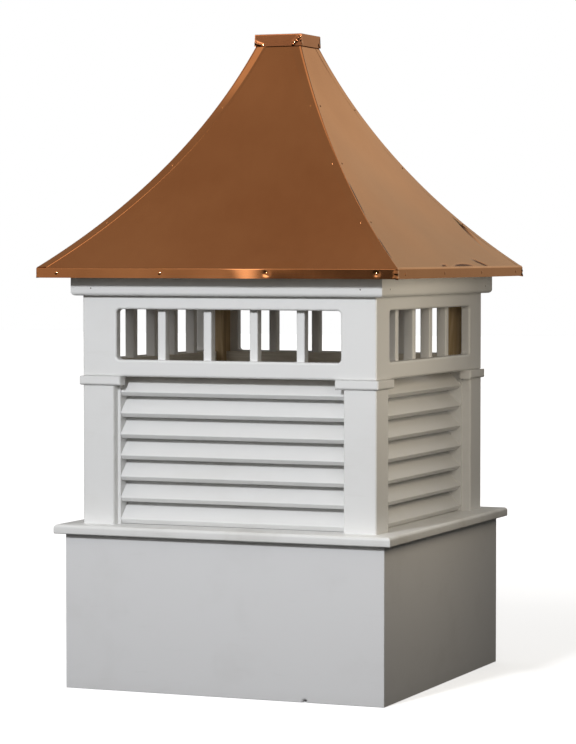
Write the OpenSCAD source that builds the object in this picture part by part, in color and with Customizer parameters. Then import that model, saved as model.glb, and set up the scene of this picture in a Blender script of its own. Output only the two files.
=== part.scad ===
// Barn cupola: a boxed base, a louvred body with an open transom, a cornice
// and a concave copper roof. Millimetres, +Z up, the origin under the middle
// of the base, the front towards -Y.

/* [Base] */
// Outside width of the square base box
base_w = 914; // [800:2:1100]
// Height of the base boards
base_h = 417; // [250:1:600]
// Thickness of the base boards
base_t = 19; // [12:1:30]

/* [Sill] */
// Thickness of the sill boards
sill_t = 25; // [20:1:35]
// How far the sill stands out past the base
sill_out = 25; // [15:1:40]
// Radius on the outer edges of the sill
sill_r = 9; // [3:1:10]

/* [Body] */
// How far the body stands back from the base on each side
body_in = 35; // [20:1:50]
// Thickness of the posts and the transom panels
body_t = 25; // [18:1:30]
// Width of each face of a corner post
post_w = 92; // [75:1:120]
// Height of the louvred opening, sill to transom
louvre_h = 398; // [300:1:520]
// Radius on the rounded edges of the body
edge_r = 6; // [2:1:8]

/* [Post capitals] */
// Height of the block at the head of each post
capital_h = 24; // [15:1:40]
// How far the block stands proud of the post
capital_out = 8; // [4:1:15]
// Length of the block along each face
capital_w = 122; // [115:1:150]

/* [Louvres] */
// Blades on each side
blade_n = 7; // [5:1:8]
// Thickness of a blade
blade_t = 16; // [10:1:18]
// Width of a blade, nose to back
blade_w = 66; // [58:1:68]
// Slope of a blade
blade_tilt = 45; // [35:1:50]
// Thickness of the stile at each end of the blades
stile_t = 25; // [15:1:30]
// How far a stile shows past the edge of the post
stile_show = 8; // [2:1:12]

/* [Transom] */
// Height of the transom panel below the cornice
transom_h = 216; // [200:1:280]
// Solid panel at each end of the opening
open_side = 100; // [95:1:130]
// Solid panel under the opening
open_below = 45; // [42:1:60]
// Height of the opening
open_h = 135; // [100:1:140]
// Corner radius of the opening
open_r = 10; // [7:1:20]
// Upright bars in each opening
bar_n = 4; // [2:1:6]
// Width of a bar
bar_w = 23; // [16:1:28]
// Depth of a bar
bar_d = 28; // [20:1:40]

/* [Cornice] */
// Height of the cornice boards
cornice_h = 52; // [40:1:70]
// Thickness of the cornice boards
cornice_t = 24; // [18:1:40]
// Radius on the lower edge of the cornice
cornice_r = 10; // [3:1:14]

/* [Frame] */
// Height of the wooden rails behind the transom
rail_h = 30; // [20:1:32]
// Thickness of the wooden plate under the roof
plate_t = 23; // [18:1:30]
// Depth of the ribs under the hips
rib_d = 60; // [40:1:70]
// Thickness of the ribs
rib_w = 38; // [25:1:50]
// Length of the top block below the cap
block_h = 90; // [60:1:110]

/* [Copper roof] */
// How far the eave stands out past the body
eave_out = 91; // [70:1:120]
// Height of the roof, eave to cap
roof_h = 604; // [500:1:700]
// Radius of the hollow curve of the roof
roof_r = 1560; // [1200:10:3000]
// Thickness of the copper sheet
sheet_t = 1.5; // [1:0.1:2]
// Height of the lip that hangs at the eave
lip_h = 27; // [24:1:40]
// Width of each wing of a hip strip
hip_w = 30; // [20:1:40]
// Half the width of the cap
cap_half = 69; // [62:1:80]
// Height of the cap
cap_h = 33; // [20:1:60]

/* [Hidden] */
$fn = 64;
// A cutter runs this far past the piece it cuts
over = 1;
// The lowest blade clears the sill by this much, so that water drains
blade_drain = 3;
// Gap between a rail and the opening or the blade next to it
rail_gap = 3;
// The cap's face stands this far outside the neck of the roof
cap_lap = 3;
// The stiles stop this far short of the back of the wooden posts
stile_gap = 2;
// The top block stands this far inside the cap's face
block_in = 18;

base_half = base_w / 2;
sill_half = base_half + sill_out;
body_half = base_half - body_in;
body_back = body_half - body_t;
stile_half = body_half - post_w - stile_show;
wood_half = stile_half + stile_t;
wood_w = body_back - wood_half;
z_sill = base_h;
z_body = z_sill + sill_t;
z_transom = z_body + louvre_h;
z_open = z_transom + open_below;
z_cornice = z_transom + transom_h;
z_plate = z_cornice + cornice_h;
z_eave = z_plate + plate_t;
z_cap = z_eave + roof_h;
z_top = z_cap + cap_h;
open_half = body_half - open_side;
bar_gap = (2 * open_half - bar_n * bar_w) / (bar_n + 1);
blade_pitch = louvre_h / blade_n;
rail_low = z_open - rail_gap - rail_h;
rail_high = z_open + open_h + rail_gap;
eave_half = body_half + eave_out;
neck_half = cap_half - cap_lap;
block_half = cap_half - block_in;

// The hollow curve runs from the eave to the neck about one centre line
chord_y = eave_half - neck_half;
chord = sqrt(chord_y * chord_y + roof_h * roof_h);
chord_off = sqrt(roof_r * roof_r - chord * chord / 4);
curve_y = (eave_half + neck_half) / 2 + chord_off * roof_h / chord;
curve_z = z_eave + roof_h / 2 + chord_off * chord_y / chord;

pvc = [0.93, 0.93, 0.91];
pvc_shade = [0.88, 0.88, 0.86];
copper = [0.62, 0.38, 0.24];
copper_pale = [0.70, 0.46, 0.31];
wood = [0.58, 0.43, 0.26];

// side of the cupola: 0 front, 1 right, 2 back, 3 left
module on_side(k) {
  rotate([0, 0, 90 * k]) children();
}

// front board of a square ring, mitred at both ends
module mitred(outer, inner, z, h) {
  translate([0, 0, z])
    linear_extrude(height = h)
      polygon([[-outer, -outer], [outer, -outer], [inner, -inner], [-inner, -inner]]);
}

// what a round-over takes off a square edge that runs along X
module edge_x(length, r) {
  rotate([90, 0, 90])
    translate([0, 0, -length / 2])
      linear_extrude(height = length)
        difference() {
          translate([-over, -over])
            square(r + over);
          translate([r, r])
            circle(r);
        }
}

// what a round-over takes off a square edge that runs along Z
module edge_z(height, r) {
  linear_extrude(height = height)
    difference() {
      translate([-over, -over])
        square(r + over);
      translate([r, r])
        circle(r);
    }
}

// rounded edges at the two front corners of the body
module corner_rounds(half, z, h, r) {
  translate([-half, -half, z - over])
    edge_z(h + 2 * over, r);
  translate([half, -half, z - over])
    rotate([0, 0, 90])
      edge_z(h + 2 * over, r);
}

module base_board(k) {
  color(pvc)
    on_side(k)
      mitred(base_half, base_half - base_t, 0, base_h);
}

module sill_board(k) {
  color(pvc)
    on_side(k)
      difference() {
        mitred(sill_half, wood_half, z_sill, sill_t);
        translate([0, -sill_half, z_sill])
          edge_x(2 * sill_half + 2 * over, sill_r);
        translate([0, -sill_half, z_body])
          mirror([0, 0, 1])
            edge_x(2 * sill_half + 2 * over, sill_r);
      }
}

// rounded upright edges of an L-shaped piece at the front left
module leg_rounds(half, width, z, h) {
  translate([-half, -half, z - over])
    edge_z(h + 2 * over, edge_r);
  translate([width - half, -half, z - over])
    rotate([0, 0, 90])
      edge_z(h + 2 * over, edge_r);
  translate([-half, width - half, z - over])
    rotate([0, 0, -90])
      edge_z(h + 2 * over, edge_r);
}

// two boards joined at the corner, at the front left before it is turned
module corner_post(k) {
  post_h = louvre_h - capital_h;
  color(pvc)
    on_side(k)
      difference() {
        translate([-body_half, -body_half, z_body])
          linear_extrude(height = post_h)
            polygon([
              [0, 0], [post_w, 0], [post_w, body_t],
              [body_t, body_t], [body_t, post_w], [0, post_w]
            ]);
        leg_rounds(body_half, post_w, z_body, post_h);
      }
}

// block at the head of a post, over both of its faces
module post_capital(k) {
  depth = capital_out + body_t;
  half = body_half + capital_out;
  z = z_transom - capital_h;
  color(pvc)
    on_side(k)
      difference() {
        translate([-half, -half, z])
          linear_extrude(height = capital_h)
            polygon([
              [0, 0], [capital_w, 0], [capital_w, depth],
              [depth, depth], [depth, capital_w], [0, capital_w]
            ]);
        leg_rounds(half, capital_w, z, capital_h);
        translate([0, -half, z])
          edge_x(2 * half, edge_r);
        on_side(-1)
          translate([0, -half, z])
            edge_x(2 * half, edge_r);
      }
}

module post_capitals() {
  for (k = [0 : 3])
    post_capital(k);
}

// boards on edge behind the posts, one at each end of the blades
module louvre_stiles() {
  color(pvc)
    for (k = [0 : 3])
      on_side(k)
        for (s = [0, 1])
          mirror([s, 0, 0])
            translate([stile_half, -body_back, z_body])
              cube([stile_t, wood_w - stile_gap, louvre_h]);
}

// sloping blades between the stiles, noses just behind the posts
module louvre_blades(k) {
  color(pvc_shade)
    on_side(k)
      for (i = [0 : blade_n - 1])
        translate([-stile_half, -body_back, z_body + blade_drain + i * blade_pitch])
          rotate([90, 0, 90])
            linear_extrude(height = 2 * stile_half)
              translate([blade_t * sin(blade_tilt), 0])
                rotate(blade_tilt)
                  square([blade_w, blade_t]);
}

// round-over about one corner of the opening, from the front face inwards
module open_corner() {
  rotate([-90, 0, 0])
    rotate_extrude()
      difference() {
        translate([open_r - over, -over])
          square(edge_r + over);
        translate([open_r + edge_r, edge_r])
          circle(edge_r);
      }
}

// the opening with its round corners and rounded front edges
module open_cut() {
  mid_z = z_open + open_h / 2;
  flat_x = open_half - open_r;
  flat_z = open_h / 2 - open_r;
  translate([0, -body_half, mid_z]) {
    translate([-open_half, -over, -flat_z])
      cube([2 * open_half, body_t + 2 * over, 2 * flat_z]);
    translate([-flat_x, -over, -open_h / 2])
      cube([2 * flat_x, body_t + 2 * over, open_h]);
    for (s = [0, 1])
      mirror([0, 0, s])
        translate([0, 0, open_h / 2])
          edge_x(2 * flat_x, edge_r);
    for (s = [0, 1])
      mirror([s, 0, 0])
        translate([open_half, 0, -flat_z])
          edge_z(2 * flat_z, edge_r);
    for (sx = [-1, 1])
      for (sz = [-1, 1])
        translate([sx * flat_x, 0, sz * flat_z]) {
          translate([0, -over, 0])
            rotate([-90, 0, 0])
              cylinder(h = body_t + 2 * over, r = open_r);
          open_corner();
        }
  }
}

module transom_panel(k) {
  color(pvc)
    on_side(k)
      difference() {
        mitred(body_half, body_back, z_transom, transom_h + cornice_h);
        open_cut();
        corner_rounds(body_half, z_transom, transom_h, edge_r);
        translate([0, -body_half, z_transom])
          edge_x(2 * body_half + 2 * over, edge_r);
      }
}

// upright bars behind the opening, standing between the two rails
module transom_bars(k) {
  color(pvc)
    on_side(k)
      for (i = [1 : bar_n])
        translate([-open_half + i * bar_gap + (i - 1) * bar_w, -body_back, rail_low + rail_h])
          cube([bar_w, bar_d, rail_high - rail_low - rail_h]);
}

module cornice_board(k) {
  outer = body_half + cornice_t;
  color(pvc)
    on_side(k)
      difference() {
        mitred(outer, body_half, z_cornice, cornice_h);
        translate([0, -outer, z_cornice])
          edge_x(2 * outer + 2 * over, cornice_r);
      }
}

module wood_posts() {
  color(wood)
    for (k = [0 : 3])
      on_side(k)
        translate([-body_back, -body_back, z_body])
          cube([wood_w, wood_w, z_plate - z_body]);
}

module wood_rails() {
  color(wood)
    for (k = [0 : 3])
      on_side(k) {
        translate([-wood_half, -body_back, rail_low])
          cube([2 * wood_half, bar_d, rail_h]);
        translate([-wood_half, -body_back, rail_high])
          cube([2 * wood_half, bar_d, rail_h]);
      }
}

// square ring on top of the panels, posts and cornice
module roof_plate() {
  outer = eave_half - sheet_t;
  color(wood)
    translate([0, 0, z_plate])
      linear_extrude(height = plate_t)
        difference() {
          square(2 * outer, center = true);
          square(2 * wood_half, center = true);
        }
}

// round bar whose side is the front roof curve, moved in by the given amount
module curve_bar(inward) {
  translate([-eave_half, -curve_y, curve_z])
    rotate([0, 90, 0])
      cylinder(h = 2 * eave_half, r = roof_r + inward, $fn = 240);
}

// front quarter of the space under the roof
module quarter() {
  translate([0, 0, z_eave])
    linear_extrude(height = roof_h)
      polygon([[0, 0], [-eave_half, -eave_half], [eave_half, -eave_half]]);
}

// upright slab along the front left hip
module hip_slab(width) {
  rotate([0, 0, -135])
    translate([0, -width / 2, z_eave])
      cube([2 * eave_half, width, roof_h]);
}

module roof_panel(k) {
  color(copper)
    on_side(k)
      intersection() {
        quarter();
        difference() {
          curve_bar(sheet_t);
          curve_bar(0);
        }
      }
}

// folded strip over the joint of two roof panels
module hip_cap(k) {
  color(copper_pale)
    on_side(k)
      intersection() {
        hip_slab(hip_w * sqrt(2));
        union() {
          intersection() {
            quarter();
            difference() {
              curve_bar(0);
              curve_bar(-sheet_t);
            }
          }
          on_side(-1)
            intersection() {
              quarter();
              difference() {
                curve_bar(0);
                curve_bar(-sheet_t);
              }
            }
        }
      }
}

module hip_caps() {
  for (k = [0 : 3])
    hip_cap(k);
}

// wooden rib under each hip, from the plate to the top block
module hip_rib(k) {
  color(wood)
    on_side(k)
      difference() {
        intersection() {
          hip_slab(rib_w);
          union() {
            curve_bar(sheet_t + rib_d);
            on_side(-1)
              curve_bar(sheet_t + rib_d);
          }
        }
        curve_bar(sheet_t);
        on_side(-1)
          curve_bar(sheet_t);
        translate([-block_half, -block_half, z_cap - block_h])
          cube([2 * block_half, 2 * block_half, block_h + over]);
      }
}

module hip_ribs() {
  for (k = [0 : 3])
    hip_rib(k);
}

module top_block() {
  color(wood)
    translate([-block_half, -block_half, z_cap - block_h])
      cube([2 * block_half, 2 * block_half, block_h + cap_h - sheet_t]);
}

module drip_edge() {
  color(copper)
    translate([0, 0, z_eave - lip_h])
      linear_extrude(height = lip_h)
        difference() {
          square(2 * eave_half, center = true);
          square(2 * eave_half - 2 * sheet_t, center = true);
        }
}

module roof_cap() {
  inner = cap_half - sheet_t;
  color(copper_pale)
    difference() {
      translate([-cap_half, -cap_half, z_cap])
        cube([2 * cap_half, 2 * cap_half, cap_h]);
      translate([-inner, -inner, z_cap - over])
        cube([2 * inner, 2 * inner, cap_h - sheet_t + over]);
    }
}

base_board(0);  // base_front
base_board(1);  // base_right
base_board(2);  // base_back
base_board(3);  // base_left
sill_board(0);  // sill_front
sill_board(1);  // sill_right
sill_board(2);  // sill_back
sill_board(3);  // sill_left
corner_post(0);  // post_front_left
corner_post(1);  // post_front_right
corner_post(2);  // post_back_right
corner_post(3);  // post_back_left
post_capitals();
louvre_stiles();
louvre_blades(0);  // louvres_front
louvre_blades(1);  // louvres_right
louvre_blades(2);  // louvres_back
louvre_blades(3);  // louvres_left
transom_panel(0);  // transom_front
transom_panel(1);  // transom_right
transom_panel(2);  // transom_back
transom_panel(3);  // transom_left
transom_bars(0);  // bars_front
transom_bars(1);  // bars_right
transom_bars(2);  // bars_back
transom_bars(3);  // bars_left
cornice_board(0);  // cornice_front
cornice_board(1);  // cornice_right
cornice_board(2);  // cornice_back
cornice_board(3);  // cornice_left
wood_posts();
wood_rails();
roof_plate();
hip_ribs();
top_block();
roof_panel(0);  // roof_front
roof_panel(1);  // roof_right
roof_panel(2);  // roof_back
roof_panel(3);  // roof_left
hip_caps();
drip_edge();
roof_cap();
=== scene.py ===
import math

import bmesh
import bpy
import numpy as np
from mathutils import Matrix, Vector


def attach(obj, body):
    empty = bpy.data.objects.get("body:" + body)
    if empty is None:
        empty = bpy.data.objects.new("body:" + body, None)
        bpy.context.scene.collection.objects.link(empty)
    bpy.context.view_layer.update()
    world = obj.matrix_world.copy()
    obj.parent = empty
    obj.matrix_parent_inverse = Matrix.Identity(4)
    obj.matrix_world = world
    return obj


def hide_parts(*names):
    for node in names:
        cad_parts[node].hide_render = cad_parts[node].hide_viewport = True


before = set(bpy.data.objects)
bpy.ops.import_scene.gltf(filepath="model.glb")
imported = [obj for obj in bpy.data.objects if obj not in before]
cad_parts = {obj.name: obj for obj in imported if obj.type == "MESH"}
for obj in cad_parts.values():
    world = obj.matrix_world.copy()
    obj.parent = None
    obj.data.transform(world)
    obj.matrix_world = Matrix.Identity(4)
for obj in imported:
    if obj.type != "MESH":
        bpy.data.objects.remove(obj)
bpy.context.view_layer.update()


# Base: four wide boards of cellular PVC, mitred and glued into a box that is open below
# and straddles the ridge of a barn roof. Their edges are eased with sandpaper. The lower
# edge of the front board carries a small chip.

side_names = ("front", "right", "back", "left")
base_half = 0.457
base_height = 0.417
base_thickness = 0.019
base_ease, corner_steps, foot_band = 0.0008, 5, 0.02
chip_x, chip_width, chip_height, chip_depth, chip_rise = 0.236, 0.0062, 0.0065, 0.0075, 0.00375
chip_band, chip_teeth = 0.03, ((0.35, 2300, 0), (0.25, 5100, 900))


class Wire:
    """An output of a node tree. Arithmetic on it adds Math nodes, and node() adds any other."""

    def __init__(self, socket):
        self.socket = socket

    def node(self, kind, settings=None, inputs=None, out=0):
        """A node of that kind: its settings are set first, then the values or wires that feed
        its inputs."""
        tree = self.socket.id_data
        made = tree.nodes.new(kind)
        for key, value in (settings or {}).items():
            setattr(made, key, value)
        for key, value in (inputs or {}).items():
            if isinstance(value, Wire):
                tree.links.new(value.socket, made.inputs[key])
            else:
                made.inputs[key].default_value = value
        return None if out is None else Wire(made.outputs[out])

    def math(self, operation, first, second):
        return self.node("ShaderNodeMath", {"operation": operation}, {0: first, 1: second})

    def __add__(self, other):
        return self.math("ADD", self, other)

    def __sub__(self, other):
        return self.math("SUBTRACT", self, other)

    def __rsub__(self, other):
        return self.math("SUBTRACT", other, self)

    def __mul__(self, other):
        return self.math("MULTIPLY", self, other)

    __radd__ = __add__
    __rmul__ = __mul__


def new_finish(name):
    """An empty material, and the wire that gives places on the piece in the cupola's own frame."""
    finish = bpy.data.materials.new(name)
    finish.use_nodes = True
    finish.node_tree.nodes.clear()
    places = finish.node_tree.nodes.new("ShaderNodeTexCoord")
    return finish, Wire(places.outputs["Object"])


def cloud(at, scale, detail=3.0, stretch=(1, 1, 1)):
    """Soft noise from 0 to 1, drawn out along an axis where its stretch is small."""
    placed = at.node("ShaderNodeMapping", {}, {"Vector": at, "Scale": stretch})
    return at.node("ShaderNodeTexNoise", {}, {"Vector": placed, "Scale": scale, "Detail": detail})


def fade(wire, low, high):
    """0 below low and 1 above high, with a soft step between."""
    ends = {"Value": wire, "From Min": low, "From Max": high}
    return wire.node("ShaderNodeMapRange", {"interpolation_type": "SMOOTHSTEP"}, ends)


def tint(mask, bare, covered):
    """The bare colour where the mask is 0 and the covered one where it is 1."""
    mixed = {"data_type": "RGBA"}
    return mask.node("ShaderNodeMix", mixed, {0: mask, 6: bare, 7: covered}, out=2)


def close_finish(at, shader):
    """Joins the last shader to the material's output."""
    at.node("ShaderNodeOutputMaterial", {}, {"Surface": shader}, out=None)


def white_board(name, clean, grimy_and_shaded, grime_and_shade, dryness, shine):
    """Extruded white PVC: a faintly clouded white with handling smudges, dry scuffs along the
    board and a fine pebbled skin, and a painted shade that darkens its lowest 35 mm."""
    finish, at = new_finish(name)
    height = at.node("ShaderNodeSeparateXYZ", {}, {0: at}, out="Z")
    mottle = cloud(at, 3.1, 4.0)
    smudge = fade(cloud(at, 7.0, 6.0), 0.52, 0.74)
    scuff = fade(cloud(at, 30.0, 5.0, (0.35, 0.35, 2.6)), 0.60, 0.78)
    # Painted shade: the boards darken over their lowest 35 mm, towards the ground.
    shade_near_ground = 1 - fade(height, 0.0, 0.035)
    dirt_and_shade = smudge * 0.5 + scuff * 0.35 + shade_near_ground * 0.35 + mottle * 0.3
    colour = tint(dirt_and_shade * grime_and_shade, clean, grimy_and_shaded)
    pebble = cloud(at, 900.0, 2.0) * 0.4 + cloud(at, 60.0, 3.0) * 0.6
    bumps = {"Strength": 0.25, "Distance": 0.0003, "Height": pebble}
    skin = at.node("ShaderNodeBump", {}, bumps)
    inputs = {
        "Base Color": colour,
        "Roughness": smudge * 0.12 + mottle * 0.10 + dryness,
        "IOR": 1.5,
        "Specular IOR Level": shine,
        "Normal": skin,
    }
    close_finish(at, at.node("ShaderNodeBsdfPrincipled", {}, inputs))
    return finish


def turned(points, side):
    """Points turned about the upright axis by a quarter turn for each side after the front."""
    cosine, sine = ((1, 0), (0, 1), (-1, 0), (0, -1))[side]
    x, y, z = np.moveaxis(points, -1, 0)
    return np.stack([cosine * x - sine * y, sine * x + cosine * y, z], -1)


def oblong(inner, outer, low, high):
    """Corners of an oblong section, anticlockwise from its inner lower one."""
    return [(inner, low), (outer, low), (outer, high), (inner, high)]


def section(corners, radii, steps=5):
    """Outline of a board's section: each corner of the polygon becomes an arc of its radius,
    swung from one tangent point to the other about the centre between them."""
    p = np.array(corners, float)
    r = np.broadcast_to(np.array(radii, float), len(p))[:, None]
    back = np.roll(p, 1, 0) - p
    on = np.roll(p, -1, 0) - p
    back /= np.linalg.norm(back, axis=1, keepdims=True)
    on /= np.linalg.norm(on, axis=1, keepdims=True)
    half = np.arccos((back * on).sum(1).clip(-1, 1))[:, None] / 2
    middle = back + on
    middle /= np.linalg.norm(middle, axis=1, keepdims=True)
    centre = p + middle * r / np.sin(half)
    first = p + back * r / np.tan(half) - centre
    last = p + on * r / np.tan(half) - centre
    swing = (np.pi - 2 * half)[:, None]
    t = np.linspace(0, 1, steps)[None, :, None]
    arc = np.sin((1 - t) * swing) * first[:, None] + np.sin(t * swing) * last[:, None]
    return (centre[:, None] + arc / np.sin(swing)).reshape(-1, 2)


def drawn_in(outline, amounts):
    """The outline once for each amount, with every point moved in along its normal by it."""
    along = np.roll(outline, -1, 0) - np.roll(outline, 1, 0)
    outward = np.stack([along[:, 1], -along[:, 0]], 1)
    outward /= np.linalg.norm(outward, axis=1, keepdims=True)
    return outline[None] - np.asarray(amounts)[:, None, None] * outward[None]


def mitred_board(outline, ease, shares):
    """Board of a square ring, mitred at both ends: S(s, t) = (s d(t), -d(t), z(t)), where (d, z)
    is the section, d counted from the cupola's middle, and s runs from -1 to 1. The section is
    drawn in a little at the mitres, so the joint shows as a fine groove."""
    end = ease / outline[:, 0].max()
    s = np.concatenate([[-1], (1 - end) * np.asarray(shares), [1]])
    amounts = np.where(np.abs(s) < 1, 0.0, ease)
    d, z = np.moveaxis(drawn_in(outline, amounts), -1, 0)
    return np.stack([s[:, None] * d, -d, z], -1)


def shell(grid, hoop=False):
    """Points, quads and caps of a grid whose columns close into rings. The rows close into a
    hoop, or else the first and last ring are capped."""
    rows, columns = grid.shape[:2]
    index = np.arange(rows * columns).reshape(rows, columns)
    across = np.roll(index, -1, 1)
    up, up_across = np.roll(index, -1, 0), np.roll(across, -1, 0)
    quads = np.stack([index, across, up_across, up], -1)
    caps = [] if hoop else [index[0].tolist(), index[-1].tolist()]
    quads = quads if hoop else quads[:-1]
    return grid.reshape(-1, 3), quads.reshape(-1, 4), caps


def make_piece(name, shells, finish, slot, *nodes):
    """One object from closed shells: faces turned outwards, smooth except where faces meet at
    more than 35 degrees. It rides on the cupola's one body and stands for the named nodes."""
    starts = np.cumsum([0] + [len(points) for points, quads, caps in shells])
    points = np.concatenate([points for points, quads, caps in shells])
    quads = np.concatenate([quads + start for (_, quads, _), start in zip(shells, starts)])
    caps = [(np.array(cap) + start).tolist()
            for (_, _, caps), start in zip(shells, starts) for cap in caps]
    mesh = bpy.data.meshes.new(name)
    mesh.from_pydata(points.tolist(), [], quads.tolist() + caps)
    work = bmesh.new()
    work.from_mesh(mesh)
    bmesh.ops.recalc_face_normals(work, faces=work.faces)
    work.to_mesh(mesh)
    work.free()
    mesh.shade_smooth()
    mesh.set_sharp_from_angle(angle=math.radians(35))
    mesh.materials.append(finish)
    piece = bpy.data.objects.new(name, mesh)
    bpy.context.scene.collection.objects.link(piece)
    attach(piece, "root")
    if nodes:
        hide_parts(*nodes)
    return piece


base_white = white_board(
    "base_white", clean=(0.705, 0.703, 0.707, 1), grimy_and_shaded=(0.52, 0.51, 0.49, 1),
    grime_and_shade=0.25, dryness=0.55, shine=0.22)
base_inner = base_half - base_thickness
base_corners = oblong(base_inner, base_half, 0, base_height)
base_outline = section(base_corners, base_ease, corner_steps)
foot = np.linspace(0.0, foot_band, 11)[1:]
rise = np.stack([np.full(len(foot), base_half), base_ease + foot], 1)
lower_arcs = 2 * corner_steps
base_outline = np.concatenate([base_outline[:lower_arcs], rise, base_outline[lower_arcs:]])
chip_shares = chip_x / base_half + np.linspace(-chip_band, chip_band, 31)
base_shares = np.concatenate([np.linspace(-1, 0.45, 30), chip_shares, np.linspace(0.6, 1, 10)])
for side, side_name in enumerate(side_names):
    board = mitred_board(base_outline, base_ease, base_shares)
    if side_name == "front":
        x, y, z = np.moveaxis(board, -1, 0)
        outer = np.clip((-y - base_inner) / base_thickness, 0, 1)
        jagged = 1 + sum(size * np.sin(x * along + z * up) for size, along, up in chip_teeth)
        spread = ((x - chip_x) / chip_width) ** 2 + (z / chip_height) ** 2
        broken = np.exp(-spread) * outer * jagged
        board = np.stack([x, y + chip_depth * broken, z + chip_rise * broken], -1)
    shells = [shell(turned(board, side))]
    make_piece("base_board_" + side_name, shells, base_white, "white_board", "base_" + side_name)


# Sill: four boards laid flat on the base, mitred at the corners, with a round nose that
# stands out all round to shed the rain. White PVC, glued and pinned from below.

sill_half, sill_inner, sill_low, sill_high = 0.482, 0.347, 0.417, 0.442
sill_round, sill_drip, sill_ease = 0.009, 0.0035, 0.0007
trim_white = white_board(
    "trim_white", clean=(0.780, 0.780, 0.773, 1), grimy_and_shaded=(0.55, 0.53, 0.48, 1),
    grime_and_shade=0.22, dryness=0.36, shine=0.5)
sill_white = white_board(
    "sill_white", clean=(0.785, 0.785, 0.775, 1), grimy_and_shaded=(0.47, 0.44, 0.39, 1),
    grime_and_shade=0.50, dryness=0.36, shine=0.5)
sill_corners = oblong(sill_inner, sill_half, sill_low, sill_high)
sill_outline = section(sill_corners, [sill_ease, sill_drip, sill_round, sill_ease], 9)
for side, side_name in enumerate(side_names):
    board = mitred_board(sill_outline, sill_ease, np.linspace(-1, 1, 12))
    shells = [shell(turned(board, side))]
    make_piece("sill_board_" + side_name, shells, sill_white, "white_board", "sill_" + side_name)


# Posts: two boards of white PVC joined at each corner into an angle, and a block with rounded
# edges over the head of each. The stiles stand behind them, at the ends of the louvre blades.

def dress(finish, *nodes):
    """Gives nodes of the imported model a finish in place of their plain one."""
    for node in nodes:
        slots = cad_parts[node].data.materials
        slots.clear()
        slots.append(finish)


dress(trim_white, "post_front_left", "post_front_right", "post_back_right", "post_back_left")
dress(trim_white, "post_capitals", "louvre_stiles")


# Louvres: seven blades on each side, let in between the stiles at 45 degrees, so that air
# passes and rain does not. Flat strips of PVC with softened noses.

blade_count, blade_length, blade_width, blade_thickness = 7, 0.6436, 0.066, 0.016
blade_low, blade_pitch, blade_front = 0.445, 0.398 / 7, 0.397
blade_foot, blade_ease = 0.0026, 0.0005
blade_rounds = (0.0012, 0.0022, 0.0006, 0.0006)
lean = math.sqrt(0.5)


def straight_piece(outline, ease, stations, along):
    """A section carried straight along an axis: S(s, t) = (s, -d(t), z(t)) along x, or
    (d(t), z(t), s) along z, drawn in a little at both ends."""
    low, high = stations[0], stations[-1]
    s = np.concatenate([[low, low + ease], np.asarray(stations)[1:-1], [high - ease, high]])
    amounts = np.where((s > low) & (s < high), 0.0, ease)
    d, z = np.moveaxis(drawn_in(outline, amounts), -1, 0)
    run = np.broadcast_to(s[:, None], d.shape)
    return np.stack([run, -d, z] if along == "x" else [d, z, run], -1)


nose_height = blade_thickness * lean
nose = np.array([blade_front - nose_height, 0.0])
front_up = blade_thickness * np.array([lean, lean])
back_up = blade_width * np.array([-lean, lean])
blade_corners = [nose, nose + front_up, nose + front_up + back_up, nose + back_up]
blade_outline = section(blade_corners, blade_rounds, 6)
blade_run = np.linspace(-blade_length / 2, blade_length / 2, 9)
for side, side_name in enumerate(side_names):
    blades = []
    for step in range(blade_count):
        blade = straight_piece(blade_outline, blade_ease, blade_run, "x")
        if step == 0:
            blade[..., 2] -= blade_foot * np.clip(1 - blade[..., 2] / nose_height, 0, 1)
        blade[..., 2] += blade_low + step * blade_pitch
        blades.append(shell(turned(blade, side)))
    make_piece("louvre_blades_" + side_name, blades, trim_white, "white_board",
               "louvres_" + side_name)


# Transom: a panel of white PVC over the louvres on each side, its long opening routed with
# round corners and edges. Four upright bars stand behind it, between two wooden rails.

bar_count, bar_width, bar_depth, bar_round, bar_ease = 4, 0.023, 0.028, 0.003, 0.0004
bar_low, bar_high = 0.882, 1.023
open_half, panel_back = 0.322, 0.397
dress(trim_white, *["transom_" + side_name for side_name in side_names])
bar_space = (2 * open_half - bar_count * bar_width) / (bar_count + 1)
bar_corners = oblong(-bar_width / 2, bar_width / 2, -panel_back, bar_depth - panel_back)
bar_outline = section(bar_corners, bar_round)
for side, side_name in enumerate(side_names):
    bars = []
    for step in range(bar_count):
        middle = -open_half + bar_space + bar_width / 2 + step * (bar_space + bar_width)
        bar = straight_piece(bar_outline, bar_ease, np.linspace(bar_low, bar_high, 4), "z")
        bar[..., 0] += middle
        bars.append(shell(turned(bar, side)))
    make_piece("transom_bars_" + side_name, bars, trim_white, "white_board", "bars_" + side_name)


# Cornice: mitred boards of white PVC under the eave, with a rounded lower edge, pinned to the
# panels with two finish nails a side that are left just proud of the face.

cornice_half, cornice_inner, cornice_low, cornice_high = 0.446, 0.422, 1.056, 1.108
cornice_round, cornice_ease = 0.010, 0.0007
nail_x, nail_z, nail_radius, nail_height, nail_sunk = 0.386, 1.076, 0.0021, 0.0007, 0.001
cornice_corners = oblong(cornice_inner, cornice_half, cornice_low, cornice_high)
cornice_rounds = [cornice_ease, cornice_round, cornice_ease, cornice_ease]
cornice_outline = section(cornice_corners, cornice_rounds, 9)
for side, side_name in enumerate(side_names):
    board = mitred_board(cornice_outline, cornice_ease, np.linspace(-1, 1, 12))
    shells = [shell(turned(board, side))]
    make_piece("cornice_board_" + side_name, shells, trim_white, "white_board",
               "cornice_" + side_name)


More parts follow.
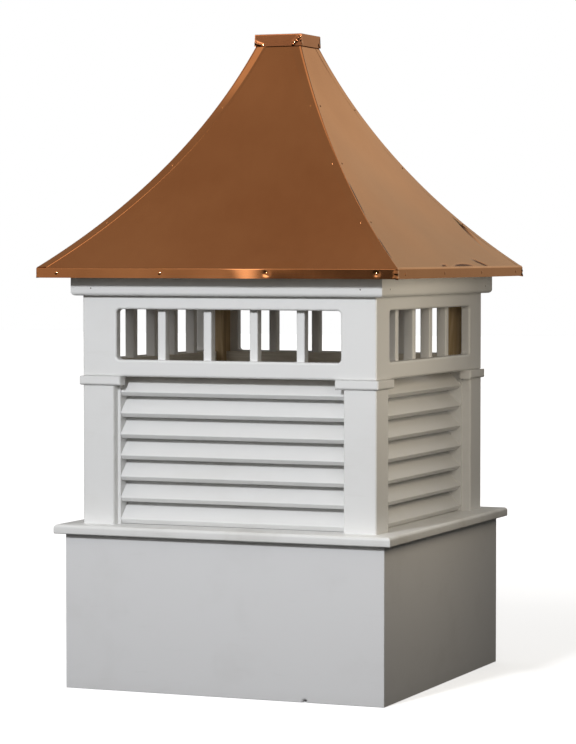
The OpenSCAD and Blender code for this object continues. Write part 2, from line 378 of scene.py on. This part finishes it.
def heads(centres, outwards, radius, height, sunk):
    """Round heads: S(r, a) = centre + radius r (cos a, sin a) in the face + height (1 - r^2) out
    of it, over a low brim and a short stem that is sunk into the face."""
    outwards = np.asarray(outwards, float)
    upright = np.array([0.0, 0.0, 1.0])
    level = np.cross(upright, outwards)
    level /= np.linalg.norm(level, axis=1, keepdims=True)
    slope = np.cross(outwards, level)
    r = np.array([1.0, 1.0, 0.9, 0.7, 0.45, 0.15])
    brim = 0.15 * height
    out = np.concatenate([[-sunk], height * (1 - r[1:] ** 2) + brim])
    a = np.linspace(0, 2 * np.pi, 16, endpoint=False)
    ring = np.cos(a)[None, :, None] * level[:, None] + np.sin(a)[None, :, None] * slope[:, None]
    grids = (np.asarray(centres)[:, None, None] + radius * r[None, :, None, None] * ring[:, None]
             + out[None, :, None, None] * outwards[:, None, None])
    return [shell(grid) for grid in grids]


nail_finish, at = new_finish("nail_heads")
nail_tone = tint(cloud(at, 500.0), (0.20, 0.19, 0.17, 1), (0.10, 0.09, 0.08, 1))
nail_inputs = {"Base Color": nail_tone, "Roughness": 0.5}
close_finish(at, at.node("ShaderNodeBsdfPrincipled", {}, nail_inputs))
nail_pair = np.array([(-nail_x, -cornice_half, nail_z), (nail_x, -cornice_half, nail_z)])
nail_faces = np.array([(0.0, -1.0, 0.0), (0.0, -1.0, 0.0)])
nails = []
for side in range(4):
    places, faces = turned(nail_pair, side), turned(nail_faces, side)
    nails += heads(places, faces, nail_radius, nail_height, nail_sunk)
make_piece("cornice_nails", nails, nail_finish, "white_board")


# Framing: softwood posts, rails, plate, ribs and block that carry the panels and the roof.
# It is left unpainted and shows only through the openings and from below.

def pine(name, stretch, early, late):
    """Planed softwood: growth rings drawn out along the grain, darker late wood and a dull skin."""
    finish, at = new_finish(name)
    rings = cloud(at, 26.0, 3.0, stretch)
    bands = rings.node("ShaderNodeMath", {"operation": "SINE"}, {0: rings * 60.0}) * 0.5 + 0.5
    fibre = cloud(at, 160.0, 4.0, stretch)
    colour = tint(bands * 0.55 + fibre * 0.45, early, late)
    grain = at.node("ShaderNodeBump", {}, {"Strength": 0.3, "Distance": 0.0006, "Height": fibre})
    inputs = {"Base Color": colour, "Roughness": fibre * 0.2 + 0.55, "Normal": grain}
    close_finish(at, at.node("ShaderNodeBsdfPrincipled", {}, inputs))
    return finish


pine_upright = pine(
    "pine_upright", (1.0, 1.0, 0.06), early=(0.60, 0.45, 0.26, 1), late=(0.40, 0.27, 0.13, 1))
pine_level = pine(
    "pine_level", (0.09, 0.09, 1.0), early=(0.74, 0.69, 0.61, 1), late=(0.62, 0.57, 0.49, 1))
pine_ribs = pine(
    "pine_ribs", (0.3, 0.3, 0.12), early=(0.58, 0.42, 0.24, 1), late=(0.38, 0.25, 0.12, 1))
dress(pine_upright, "wood_posts", "top_block")
dress(pine_level, "wood_rails", "roof_plate")
dress(pine_ribs, "hip_ribs")


# Roof: four sheets of soft copper drawn down over the framing in one hollow sweep, lapped at
# the hips. Thin sheet never lies quite flat, and this has been knocked along the eave and near
# the far hip. Each dent carries a painted dark reflection, a near-black band laid across it.

eave_half, neck_half, eave_z, neck_z, sweep_radius = 0.513, 0.066, 1.131, 1.735, 1.560
sheet_thickness, wave_count, crease_shift, crease_half = 0.0009, 6, 0.35, 0.70
roof_rise, roof_run = neck_z - eave_z, eave_half - neck_half
slope = math.hypot(roof_rise, roof_run)
hollow = math.sqrt(sweep_radius ** 2 - slope ** 2 / 4)
sweep_d = (eave_half + neck_half) / 2 + hollow * roof_rise / slope
sweep_z = (eave_z + neck_z) / 2 + hollow * roof_run / slope
eave_angle = math.asin((sweep_z - eave_z) / sweep_radius)
neck_angle = math.asin((sweep_z - neck_z) / sweep_radius)


def roof_line(share, lift):
    """Reach d and height z on the sweep, a circle about a centre outside the roof:
    d = D - (R - lift) cos a and z = Z - (R - lift) sin a, where the share takes the angle a
    from the eave to the neck and lift is the distance above the sheet."""
    angle = eave_angle + (neck_angle - eave_angle) * share
    near = sweep_radius - lift
    return sweep_d - near * np.cos(angle), sweep_z - near * np.sin(angle)


def between(index):
    """Quads between the neighbouring rows and columns of a grid of point numbers."""
    corners = [index[:-1, :-1], index[:-1, 1:], index[1:, 1:], index[1:, :-1]]
    return np.stack(corners, -1).reshape(-1, 4)


def sheet_shell(top, under):
    """Points and quads of a thin sheet: its two faces and the rim that joins them."""
    rows, columns = top.shape[:2]
    index = np.arange(rows * columns).reshape(rows, columns)
    quads = between(index)
    rim = np.concatenate([index[0, :-1], index[:-1, -1], index[-1, :0:-1], index[:0:-1, 0]])
    ahead = np.roll(rim, -1)
    below = index.size
    edge = np.stack([ahead, rim, rim + below, ahead + below], -1)
    points = np.concatenate([top.reshape(-1, 3), under.reshape(-1, 3)])
    return points, np.concatenate([quads, quads[:, ::-1] + below, edge]), []


def sheet_copper(name, bright, dull, sheen):
    """Bare rolled copper: bright metal that has begun to brown in soft clouds, with fine rolling
    lines and rubbed patches that change only its sheen. Where the piece's mask is set, a
    near-black, less metallic and rougher colour is painted as shade and dark reflection."""
    finish, at = new_finish(name)
    brown = fade(cloud(at, 2.6, 5.0), 0.30, 0.75)
    rubbed = cloud(at, 6.5, 6.0)
    rolled = cloud(at, 34.0, 3.0, (1.0, 1.0, 0.10))
    colour = tint(brown * 0.60 + rolled * 0.30, bright, dull)
    # Painted shade and dark reflection: where the piece's mask attribute is set, the colour turns
    # near black and less metallic.
    painted_dark = at.node("ShaderNodeAttribute", {"attribute_name": "painted_dark"}, {}, out="Fac")
    colour = tint(painted_dark, colour, (0.05, 0.028, 0.02, 1))
    skin = rolled * 0.5 + rubbed * 0.5
    bumps = {"Strength": 0.10, "Distance": 0.0004, "Height": skin}
    inputs = {
        "Base Color": colour,
        "Metallic": 1 - painted_dark * 0.9,
        "Specular Tint": (1.0, 0.965, 0.80, 1),
        "Roughness": rubbed * 0.10 + painted_dark * 0.5 + sheen,
        "Normal": at.node("ShaderNodeBump", {}, bumps),
    }
    close_finish(at, at.node("ShaderNodeBsdfPrincipled", {}, inputs))
    return finish


def paint_dark(piece, painted_dark):
    """Gives every point of a piece a mask from 0 to 1, where its finish paints a near-black shade
    or dark reflection.
    """
    piece.data.attributes.new("painted_dark", "FLOAT", "POINT").data.foreach_set("value", painted_dark)


panel_copper = sheet_copper(
    "panel_copper", bright=(0.655, 0.257, 0.096, 1), dull=(0.515, 0.18, 0.062, 1), sheen=0.11)
wave_rng = np.random.default_rng(5)
panel_s = np.linspace(-1, 1, 181)[None, :]
panel_share = (np.linspace(0, 1, 121) ** 1.6)[:, None]
panel_x = panel_s * roof_line(panel_share, 0.0)[0]
panel_up = panel_share * slope
held = (1 - panel_s ** 4) * np.sin(np.pi * panel_share ** 0.8)
# Each dent: place along the sheet, height up it, half width, half height, depth and lean.
dents_by_side = {
    "right": [
        (-0.136, 0.0090, 0.016, 0.0040, 0.0026, 0.0),
        (0.018, 0.0105, 0.074, 0.0044, 0.0030, 0.0),
        (0.188, 0.0165, 0.035, 0.0054, 0.0032, -0.42),
        (0.350, 0.1600, 0.010, 0.0620, 0.0036, 0.0),
    ],
    "back": [(0.14, 0.30, 0.06, 0.05, 0.0015, 0.0)],
    "left": [(-0.20, 0.010, 0.030, 0.0040, 0.0018, 0.0)],
}
for side, side_name in enumerate(side_names):
    waves = np.zeros_like(panel_x)
    for wave in range(wave_count):
        across, climb = wave_rng.uniform(5, 16), wave_rng.uniform(3, 11)
        start, size = wave_rng.uniform(0, 6.28), wave_rng.uniform(0.00015, 0.0005)
        waves = waves + size * np.sin(across * panel_x + climb * panel_up + start)
    lift = waves * held
    painted_dark = np.zeros_like(panel_x)
    for dent in dents_by_side.get(side_name, []):
        dent_x, dent_up, dent_wide, dent_high, dent_deep, dent_lean = dent
        off = panel_x - dent_x
        bent = (panel_up - dent_up - dent_lean * off + off ** 2) / dent_high
        lift = lift - dent_deep * np.exp(-(off / dent_wide) ** 2 - bent ** 2)
        # Painted dark reflection: a near-black band across each dent, crease_shift up its bent
        # axis.
        fold = ((bent - crease_shift) / crease_half) ** 2
        painted_dark = painted_dark + np.exp(-(off / dent_wide) ** 4 - fold)
    faces = []
    for thickness in (0.0, sheet_thickness):
        d, z = roof_line(panel_share, lift - thickness)
        faces.append(turned(np.stack([panel_s * d, -d, z], -1), side))
    sheet = make_piece("roof_sheet_" + side_name, [sheet_shell(*faces)], panel_copper, "copper",
                       "roof_" + side_name)
    paint_dark(sheet, np.tile(np.minimum(painted_dark, 1).ravel(), 2))


# Hip strips: copper strips folded along their length and lapped over the joint of two sheets,
# with a small bead on the fold. Pairs of copper rivets hold them down. On the near strip a
# painted shade, in two places, stands for a gap where it has come away; the strip is not lifted.

strip_reach, fold_round, strip_top, strip_under = 0.030, 0.0030, 0.0003, 0.0001
strip_laps, strip_flares = (0.0006, 0.0, 0.0002, 0.0004), (0.0022, 0.0, 0.0, 0.0003)
edge_fall, edge_rest, ripple_height = 0.0012, 0.15, 0.00015
bead_half, bead_heights, bead_hollow = 0.0036, (0.0010, 0.0016, 0.0012, 0.0012), 0.6
shade_hip, shade_q, shade_half = 1, 0.0060, 0.0036
shade_z, shade_reach = (1.312, 1.182), (0.040, 0.026)
rivet_z, rivet_in, rivet_ride = np.array([1.250, 1.407, 1.566]), 0.020, 0.65
rivet_radius, rivet_height, rivet_sunk = 0.0032, 0.0013, 0.0012
strip_copper = sheet_copper(
    "strip_copper", bright=(0.655, 0.26, 0.098, 1), dull=(0.515, 0.182, 0.064, 1), sheen=0.08)
wing = np.array([0.25, 0.35, 0.5, 0.65, 0.8, 0.9, 0.955, 0.962, 0.98, 1.0])
strip_s = np.concatenate([-wing[::-1], np.linspace(-0.22, 0.22, 21), wing])
strip_q = strip_reach * strip_s[None, :]
strip_share = np.linspace(0, 1, 160)[:, None]


def strip_face(lift):
    """Face of the strip on the front left hip: q runs across it, to the right on the front sheet
    and to the back on the left one. The two wings meet in a fold of small radius,
    x = -d + (q + w)/2 and y = -d + (w - q)/2 with w^2 = q^2 + e^2."""
    d, z = roof_line(strip_share, lift)
    w = np.sqrt(strip_q ** 2 + fold_round ** 2)
    return np.stack([-d + (strip_q + w) / 2, -d + (w - strip_q) / 2, z], -1)


strip_rng = np.random.default_rng(8)
strip_z = roof_line(strip_share, 0.0)[1]
# Painted shade: a dark band along the near strip, at two heights, where it would stand off the
# sheet.
gaping = sum(np.exp(-((strip_z - at_z) / half) ** 4) for at_z, half in zip(shade_z, shade_reach))
gap_shade = gaping * np.exp(-((strip_q - shade_q) / shade_half) ** 2)
out_share = np.abs(strip_q) / strip_reach
edge_down = np.clip((strip_reach - np.abs(strip_q)) / edge_fall, 0, 1)
edge_down = edge_rest + (1 - edge_rest) * edge_down
rivet_angle = np.arcsin((sweep_z - rivet_z) / sweep_radius)
rivet_share = (rivet_angle - eave_angle) / (neck_angle - eave_angle)
level, steep, flat = -np.cos(rivet_angle), np.sin(rivet_angle), np.zeros(len(rivet_z))
rivet_out = np.concatenate([np.stack([flat, level, steep], -1), np.stack([level, flat, steep], -1)])
strips, rivets, strip_shade = [], [], []
for side in range(4):
    often, start = strip_rng.uniform(20, 34), strip_rng.uniform(0, 6)
    ripple = ripple_height * np.sin(strip_share * often + start)
    bead = bead_heights[side] * (0.3 + 0.7 * strip_share) * np.exp(-(strip_q / bead_half) ** 2)
    lap = (strip_laps[side] + strip_flares[side] * out_share) * edge_down
    top = strip_face(lap + ripple * out_share ** 2 + bead + strip_top)
    under = strip_face(strip_under + bead_hollow * bead)
    strips.append(sheet_shell(turned(top, side), turned(under, side)))
    strip_shade += [gap_shade.ravel() * (side == shade_hip), np.zeros(gap_shade.size)]
    d, z = roof_line(rivet_share, strip_laps[side] + rivet_ride * strip_flares[side])
    on_front, on_left = np.stack([rivet_in - d, -d, z], -1), np.stack([-d, rivet_in - d, z], -1)
    places = turned(np.concatenate([on_front, on_left]), side)
    rivets += heads(places, turned(rivet_out, side), rivet_radius, rivet_height, rivet_sunk)
paint_dark(make_piece("hip_strips", strips, strip_copper, "copper", "hip_caps"), np.concatenate(strip_shade))
make_piece("hip_rivets", rivets, strip_copper, "copper")


# Drip edge: the eave's copper lip, bent down over the plate so that water falls clear of the
# cornice. Two of its front screws have pulled dimples into it, it has sprung out a little near
# the middle of that side, and its corners are pinched.

lip_low, lip_thickness, lip_bend, lip_rise, bend_fall = 1.104, 0.0008, 0.0020, 0.0004, 0.0008
wall_top, wall_foot, lap_edge = 0.005, 0.006, 0.001
screw_x = np.array([-0.455, -0.152, 0.152, 0.455])
screw_z, screw_radius, screw_height, screw_sunk = 1.1165, 0.0042, 0.0008, 0.001
dimple_wide, dimple_high = 0.0062, 0.0056
dimple_deep = np.zeros((4, len(screw_x)))
dimple_deep[0, 2:] = 0.0008
flare_out, flare_x, flare_wide = np.array([0.0017, 0.0, 0.0, 0.0]), 0.090, 0.080
buckles = ((0.00020, 7.0, 1.3), (0.00010, 19.0, 2.0))
corner_pinch = np.array([0.0002, 0.0018, 0.0012, 0.0005])
corner_reach, corner_drop, crinkle_share, crinkle_pitch = 0.0055, 1.4, 0.8, 0.0019
lip_copper = sheet_copper(
    "lip_copper", bright=(0.66, 0.27, 0.105, 1), dull=(0.53, 0.19, 0.068, 1), sheen=0.04)


def ring_around(columns):
    """Unit square walked once round, and for each place its side and its share along the side."""
    share = np.linspace(-1, 1, columns, endpoint=False)
    edge = np.stack([share, -np.ones(columns), np.zeros(columns)], -1)
    ring = np.concatenate([turned(edge, side) for side in range(4)])
    return ring[:, 0], ring[:, 1], np.tile(share, 4), np.repeat(np.arange(4), columns)


lip_x, lip_y, lip_s, lip_side = ring_around(256)
bend_angle = (math.pi / 2 - eave_angle) * (1 - np.linspace(0, 1, 7))
lap_back = np.array([0.003, 0.0022])
lip_face = eave_half + lip_thickness
outer_d = np.concatenate([
    lip_face - lap_back,
    lip_face - lip_bend * (1 - np.cos(bend_angle)),
    np.full(9, lip_face),
])
top_z = eave_z + lip_rise
outer_z = np.concatenate([
    top_z + lap_back / math.tan(eave_angle),
    top_z - bend_fall + lip_bend * (np.sin(bend_angle) - 1),
    np.linspace(top_z - wall_top, lip_low + wall_foot, 6),
    lip_low + np.array([0.004, 0.002, 0.0]),
])
inner_d = outer_d[::-1] - lip_thickness
inner_z = outer_z[::-1] + np.where(outer_d[::-1] < eave_half - lap_edge, -lip_thickness, 0)
lip_d = np.concatenate([outer_d, inner_d])[:, None]
lip_z = np.concatenate([outer_z, inner_z])[:, None]
along = lip_s * eave_half
hang = np.clip((eave_z - lip_z) / (eave_z - lip_low), 0, 1)
from_screw = (along[None, :, None] - screw_x) / dimple_wide
sunk = np.exp(-from_screw ** 2 - ((lip_z[..., None] - screw_z) / dimple_high) ** 2)
dimple = (sunk * dimple_deep[lip_side]).sum(-1)
flare = flare_out[lip_side] * hang * np.exp(-((along - flare_x) / flare_wide) ** 2)
buckle = sum(size * hang * np.sin(often * along + shift * lip_side)
             for size, often, shift in buckles)
corner = np.exp(-((1 - np.abs(lip_s)) * eave_half / corner_reach) ** 2)
crinkle = 1 + crinkle_share * np.sin((lip_z - lip_low) / crinkle_pitch)
pinch = corner * corner_pinch[(lip_side + (lip_s > 0)) % 4] * crinkle
lip_reach = lip_d - dimple + flare + buckle * (1 - corner) + pinch * np.sqrt(hang)
lip_fall = lip_z - corner_drop * pinch * hang ** 2
lip_grid = np.stack([lip_reach * lip_x, lip_reach * lip_y, lip_fall], -1)
make_piece("drip_lip", [shell(lip_grid, hoop=True)], lip_copper, "copper", "drip_edge")
screw_faces = np.tile([0.0, -1.0, 0.0], (len(screw_x), 1))
screws = []
for side in range(4):
    sprung = 0.5 * flare_out[side] * np.exp(-((screw_x - flare_x) / flare_wide) ** 2)
    screw_d = lip_face - dimple_deep[side] + sprung
    places = turned(np.stack([screw_x, -screw_d, np.full_like(screw_x, screw_z)], -1), side)
    screws += heads(places, turned(screw_faces, side), screw_radius, screw_height, screw_sunk)
make_piece("lip_screws", screws, lip_copper, "copper")


# Cap: a shallow copper box pressed over the neck of the roof, folded at its corners. The folds
# have been hammered in by hand and are creased and shiny.

cap_half, cap_low, cap_high, cap_thickness, cap_round = 0.069, 1.735, 1.768, 0.0012, 0.0016
cap_middle, inner_rings, wall_rings = 0.004, 8, 30
knock_height, seam_height, seam_reach = 0.0011, 0.0008, 0.003
cap_copper = sheet_copper(
    "cap_copper", bright=(0.60, 0.235, 0.095, 1), dull=(0.44, 0.145, 0.06, 1), sheen=0.07)
cap_x, cap_y, cap_s, cap_side = ring_around(128)
wall = np.linspace(0, 1, wall_rings)
quarter = np.linspace(0, math.pi / 2, 6)[1:]
cap_d = np.concatenate([
    [cap_middle, 0.03, cap_half - cap_thickness - 0.001],
    np.full(inner_rings, cap_half - cap_thickness),
    np.full(wall_rings, cap_half),
    cap_half - cap_round * (1 - np.cos(quarter)),
    [0.055, 0.035, cap_middle],
])[:, None]
cap_z = np.concatenate([
    np.full(3, cap_high - cap_thickness),
    np.linspace(cap_high - cap_thickness, cap_low, inner_rings),
    cap_low + wall * (cap_high - cap_low - cap_round),
    cap_high - cap_round * (1 - np.sin(quarter)),
    np.full(3, cap_high),
])[:, None]
is_wall = ((cap_d > cap_half - 0.0004) & (cap_z < cap_high - 0.001)).astype(float)
across = cap_s * cap_half
rise_up = cap_z - cap_low
# Each knock: place along the side, height above the lower edge, and size.
front_knocks = (
    (-0.066, 0.0100, 0.0034), (-0.060, 0.0070, 0.0036), (-0.053, 0.0050, 0.0034),
    (-0.047, 0.0035, 0.0030), (0.043, 0.0040, 0.0030), (0.047, 0.0090, 0.0032),
    (0.053, 0.0140, 0.0034), (0.059, 0.0200, 0.0036), (0.064, 0.0250, 0.0034),
    (0.067, 0.0150, 0.0030),
)
other_knocks = ((-0.064, 0.0060, 0.0040), (0.065, 0.0040, 0.0042), (0.060, 0.0080, 0.0034))
crumple = np.zeros_like(cap_z + across)
for knocks, where in ((front_knocks, cap_side == 0), (other_knocks, cap_side > 0)):
    for knock_x, knock_z, knock_size in knocks:
        spread = ((across - knock_x) ** 2 + (rise_up - knock_z) ** 2) / knock_size ** 2
        crumple = crumple + knock_height * where * np.exp(-spread)
from_corner = (1 - np.abs(cap_s)) * cap_half
seam_fade = 1 - rise_up / (cap_high - cap_low)
seam = seam_height * np.exp(-(from_corner / seam_reach) ** 2) * seam_fade
cap_reach = cap_d + is_wall * (crumple + seam)
cap_grid = np.stack([cap_reach * cap_x, cap_reach * cap_y, cap_z + 0 * cap_reach], -1)
make_piece("cap_box", [shell(cap_grid)], cap_copper, "copper", "roof_cap")


# Stage: a pale studio floor that keeps the object's shadow, a surround that is white to the
# camera and a dim room with light and dark panels to the metal, one soft lamp in front, two
# weak warm ones at the right, and the camera.

floor_reach, floor_lines, floor_z = 30.0, 9, -0.0005
floor_line = np.linspace(-floor_reach, floor_reach, floor_lines)
floor_x, floor_y = np.meshgrid(floor_line, floor_line)
floor_points = np.stack([floor_x, floor_y, np.full_like(floor_x, floor_z)], -1)
floor_quads = between(np.arange(floor_x.size).reshape(floor_x.shape))
floor_mesh = bpy.data.meshes.new("studio_floor")
floor_mesh.from_pydata(floor_points.reshape(-1, 3).tolist(), [], floor_quads.tolist())
floor_finish, at = new_finish("studio_floor")
seen = at.node("ShaderNodeLightPath", {}, {}, out="Is Camera Ray")
mirrored = at.node("ShaderNodeLightPath", {}, {}, out="Is Glossy Ray")
far_back = fade(at.node("ShaderNodeSeparateXYZ", {}, {0: at}, out="Y"), 2.0, 8.0)
pale = at.node("ShaderNodeBsdfDiffuse", {}, {"Color": (0.85, 0.85, 0.85, 1)})
away = at.node("ShaderNodeVectorMath", {"operation": "LENGTH"}, {0: at}, out="Value")
white = tint(fade(away, 1.2, 4.0), (0.55, 0.55, 0.55, 1), (0.80, 0.80, 0.80, 1))
glow = at.node("ShaderNodeEmission", {}, {"Color": white, "Strength": 1.0})
bright_floor = at.node("ShaderNodeAddShader", {}, {0: pale, 1: glow})
dim_floor = at.node("ShaderNodeBsdfDiffuse", {}, {"Color": (0.05, 0.048, 0.045, 1)})
back_floor = at.node("ShaderNodeEmission", {}, {"Color": (0.36, 0.34, 0.315, 1), "Strength": 1.0})
reflected = mirrored * far_back
unseen_floor = at.node("ShaderNodeMixShader", {}, {0: reflected, 1: dim_floor, 2: back_floor})
close_finish(at, at.node("ShaderNodeMixShader", {}, {0: seen, 1: unseen_floor, 2: bright_floor}))
floor_mesh.materials.append(floor_finish)
floor = bpy.data.objects.new("studio_floor", floor_mesh)
bpy.context.scene.collection.objects.link(floor)

surround = bpy.data.worlds.new("studio_surround")
surround.use_nodes = True
surround.node_tree.nodes.clear()
direction = Wire(surround.node_tree.nodes.new("ShaderNodeTexCoord").outputs["Generated"])
behind = direction.node("ShaderNodeSeparateXYZ", {}, {0: direction}, out="Y")
overhead = direction.node("ShaderNodeSeparateXYZ", {}, {0: direction}, out="Z")
rightward = direction.node("ShaderNodeSeparateXYZ", {}, {0: direction}, out="X")
in_front = 1 - fade(behind, 0.1, 0.3)
right_gloom = fade(rightward, 0.35, 0.45) * fade(behind, -0.45, -0.30)
right_gloom = right_gloom * (1 - fade(overhead, 0.78, 0.88))
left_card = (1 - fade(rightward, -0.385, -0.375)) * in_front
left_card = left_card * fade(overhead, -0.14, -0.10) * (1 - fade(overhead, 0.06, 0.12))
left_light = (1 - fade(rightward, -0.47, -0.43)) * in_front
left_light = left_light * fade(overhead, 0.25, 0.35) * (1 - fade(overhead, 0.755, 0.81))
strip_light = fade(rightward, -0.43, -0.41) * (1 - fade(rightward, -0.27, -0.24))
strip_light = strip_light * (1 - fade(behind, -0.6, -0.4))
strip_light = strip_light * fade(overhead, 0.095, 0.14) * (1 - fade(overhead, 0.36, 0.42))
backdrop = fade(behind, 0.72, 0.84) * fade(rightward, -0.17, -0.12)
backdrop = backdrop * (1 - fade(overhead, 0.45, 0.60)) * (1 - fade(rightward, 0.36, 0.46))
back_gloom = fade(behind, 0.55, 0.70) * (1 - fade(rightward, -0.17, -0.12))
back_gloom = back_gloom * (1 - fade(overhead, 0.42, 0.48))
back_tone = tint(fade(rightward, -0.10, 0.14), (0.45, 0.43, 0.39, 1), (0.68, 0.67, 0.645, 1))
back_tone = tint(fade(overhead, -0.02, 0.10), (0.35, 0.33, 0.305, 1), back_tone)
high_back = fade(behind, 0.50, 0.65) * fade(overhead, 0.44, 0.50) * (1 - fade(overhead, 0.70, 0.80))
high_back = high_back * (1 - fade(rightward, 0.0, 0.15))
room = tint(fade(overhead, -0.01, 0.14), (0.06, 0.057, 0.053, 1), (0.345, 0.342, 0.335, 1))
room = tint(right_gloom, room, (0.015, 0.014, 0.013, 1))
room = tint(back_gloom, room, (0.03, 0.028, 0.026, 1))
room = tint(left_light, room, (0.85, 0.81, 0.76, 1))
room = tint(left_card, room, (0.50, 0.485, 0.46, 1))
room = tint(strip_light, room, (2.5, 2.45, 2.4, 1))
room = tint(fade(overhead, 0.955, 0.985), room, (1.5, 1.47, 1.43, 1))
room = tint(high_back, room, (0.95, 0.94, 0.92, 1))
room = tint(backdrop, room, back_tone)
camera_ray = direction.node("ShaderNodeLightPath", {}, {}, out="Is Camera Ray")
sky = tint(camera_ray, room, (1, 1, 1, 1))
back_light = direction.node("ShaderNodeBackground", {}, {"Color": sky, "Strength": 1.0})
direction.node("ShaderNodeOutputWorld", {}, {"Surface": back_light}, out=None)
bpy.context.scene.world = surround


def soft_lamp(name, place, aim, size, spread, power, colour):
    """A square soft lamp that stands at a place and faces its aim."""
    lamp = bpy.data.lights.new(name, "AREA")
    lamp.shape, lamp.size, lamp.energy, lamp.color = "SQUARE", size, power, colour
    lamp.spread = math.radians(spread)
    stand = bpy.data.objects.new(name, lamp)
    stand.location = place
    stand.rotation_mode = "QUATERNION"
    stand.rotation_quaternion = (Vector(aim) - Vector(place)).to_track_quat("-Z", "Y")
    bpy.context.scene.collection.objects.link(stand)


soft_lamp("key_lamp", (-0.12, -4.16, 2.36), (0.0, -0.4, 1.0), size=0.28, spread=180.0,
          power=106.5, colour=(0.935, 0.96, 1.0))
soft_lamp("near_fill", (1.7, -2.0, 1.45), (0.3, -0.3, 0.9), size=1.10, spread=180.0,
          power=4.0, colour=(1.0, 0.95, 0.86))
soft_lamp("right_fill", (1.15, -0.27, 1.05), (0.42, -0.16, 0.74), size=0.55, spread=140.0,
          power=1.9, colour=(1.0, 0.87, 0.67))

lens_mm, yaw, pitch = 140.12, math.radians(-22.445), math.radians(-2.413)
eye = bpy.data.objects.new("eye", bpy.data.cameras.new("eye"))
eye.data.lens = lens_mm
eye.data.clip_end = 200.0
eye.location = (3.0592, -7.4038, 1.1780)
level = math.cos(pitch)
forward = Vector((math.sin(yaw) * level, math.cos(yaw) * level, math.sin(pitch)))
eye.rotation_mode = "QUATERNION"
eye.rotation_quaternion = forward.to_track_quat("-Z", "Y")
bpy.context.scene.collection.objects.link(eye)
bpy.context.scene.camera = eye
bpy.context.scene.view_settings.view_transform = "Standard"
